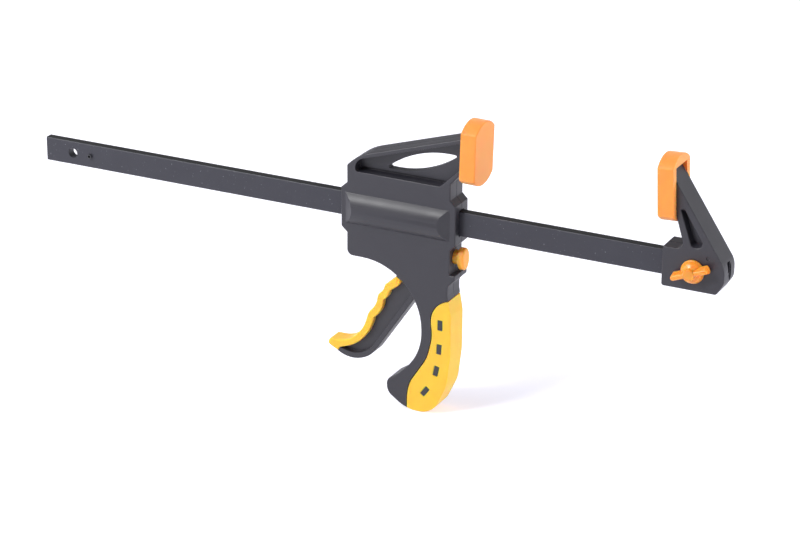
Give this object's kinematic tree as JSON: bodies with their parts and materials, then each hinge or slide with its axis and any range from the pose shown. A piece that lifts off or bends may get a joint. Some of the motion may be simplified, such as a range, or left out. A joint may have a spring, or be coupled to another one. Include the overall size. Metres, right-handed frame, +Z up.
{
  "type": "quick release bar clamp",
  "caption": "One-handed bar clamp: a black steel bar, a fixed jaw with a wing knob, and a sliding pistol-grip jaw with a trigger, a release button and soft orange pads.",
  "frame": {"origin": "centre of the hanging hole, on the bar's axis", "axes": "+X along the bar towards the fixed jaw, +Z up from the bar to the pads, -Y towards the side with the wing knob"},
  "size_m": [0.4699, 0.0305, 0.1949],
  "materials": {
    "bar_steel": "black oxide with a faint grain and worn edges",
    "body_plastic": "fine moulded texture, black glass-filled nylon",
    "pad_rubber": "soft satin moulding, orange",
    "grip_rubber": "soft over-moulding, orange",
    "knob_plastic": "satin moulded plastic, orange",
    "button_plastic": "satin moulded plastic, orange",
    "zinc_steel": "zinc plated",
    "plate_steel": "hardened steel, blanked",
    "spring_steel": "drawn spring wire"
  },
  "bodies": {
    "bar_and_jaw": {"bar": "bar_steel", "stop_pin": "zinc_steel", "fixed_jaw": "body_plastic", "fixed_jaw_pad": "pad_rubber", "knob_nut": "zinc_steel"},
    "knob": {"wing_knob": "knob_plastic", "knob_stud": "zinc_steel"},
    "moving_jaw": {"near_shell": "body_plastic", "far_shell": "body_plastic", "shell_screws": "zinc_steel", "moving_jaw_pad": "pad_rubber", "handle_grip": "grip_rubber", "trigger_pin": "zinc_steel", "drive_spring": "spring_steel", "brake_spring": "spring_steel"},
    "trigger_lever": {"trigger": "body_plastic", "trigger_grip": "grip_rubber"},
    "drive_plates": {"rear_drive_plate": "plate_steel", "front_drive_plate": "plate_steel"},
    "brake": {"brake_plate": "plate_steel"},
    "button": {"release_button": "button_plastic"}
  },
  "joints": [
    {"name": "body_slide", "type": "slide", "parent": "bar_and_jaw", "child": "moving_jaw", "axis": [1, 0, 0], "range_m": [-0.185, 0.1137]},
    {"name": "trigger_pull", "type": "hinge", "parent": "moving_jaw", "child": "trigger_lever", "pos_m": [0.253, 0, -0.026], "axis": [0, -1, 0], "range_deg": [0, 14], "stiffness_Nm_per_rad": 0.6, "springref_deg": -17.19},
    {"name": "drive_slide", "type": "slide", "parent": "moving_jaw", "child": "drive_plates", "axis": [-1, 0, 0], "range_m": [0, 0.0026], "deforming": ["drive_spring"]},
    {"name": "button_press", "type": "slide", "parent": "moving_jaw", "child": "button", "axis": [-1, 0, 0], "range_m": [0, 0.003], "stiffness_N_per_m": 1500, "springref_m": -0.002},
    {"name": "brake_tilt", "type": "hinge", "parent": "moving_jaw", "child": "brake", "pos_m": [0.2655, 0, 0.0135], "axis": [0, 1, 0], "range_deg": [0, 4.9], "deforming": ["brake_spring"]},
    {"name": "knob_turn", "type": "hinge", "parent": "bar_and_jaw", "child": "knob", "pos_m": [0.4307, 0, 0], "axis": [0, 1, 0], "continuous": true}
  ],
  "couplings": [
    {"joint": "drive_slide", "follows": "trigger_pull", "m_per_rad": 0.010425},
    {"joint": "brake_tilt", "follows": "button_press", "rad_per_m": 27.58}
  ]
}
